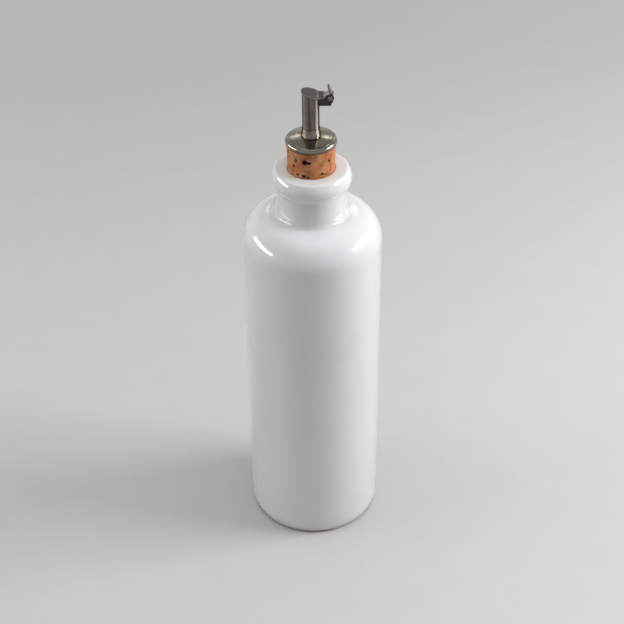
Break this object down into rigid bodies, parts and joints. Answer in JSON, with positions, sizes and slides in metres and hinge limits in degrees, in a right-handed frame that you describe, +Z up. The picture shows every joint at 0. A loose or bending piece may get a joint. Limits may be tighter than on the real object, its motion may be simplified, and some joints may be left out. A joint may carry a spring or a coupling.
{
  "type": "dispenser bottle",
  "caption": "Glazed stoneware bottle with a cork pourer: flange disc, pour tube and a hinged flap with a thumb tab.",
  "frame": {"origin": "middle of the foot ring, on the surface that the bottle stands on", "axes": "+Z up along the bottle's axis, +X towards the flap's hinge; the bottle pours over its -X side"},
  "size_m": [0.085, 0.085, 0.3141],
  "materials": {
    "glaze": "glossy white glaze, bare fired clay on the foot ring",
    "cork": "natural cork, matte with dark pits",
    "polished_steel": "polished stainless steel",
    "inner_steel": "drawn stainless steel, not polished",
    "hinge_steel": "polished stainless steel, a little darker in the joints",
    "flap_steel": "polished stainless steel"
  },
  "bodies": {
    "bottle_body": {"bottle": "glaze"},
    "stopper": {"cork": "cork", "flange_disc": "polished_steel", "pour_tube": "polished_steel", "tube_collar": "polished_steel", "air_tube": "inner_steel", "retaining_washer": "inner_steel", "hinge_bracket": "hinge_steel", "hinge_pin": "hinge_steel"},
    "flap": {"flap_lid": "flap_steel"}
  },
  "joints": [
    {"name": "stopper_lift", "type": "slide", "parent": "bottle_body", "child": "stopper", "axis": [0, 0, 1], "range_m": [0, 0.06]},
    {"name": "flap_hinge", "type": "hinge", "parent": "stopper", "child": "flap", "pos_m": [0.01101, 0, 0.3074], "axis": [0, 1, 0], "range_deg": [0, 110]}
  ]
}
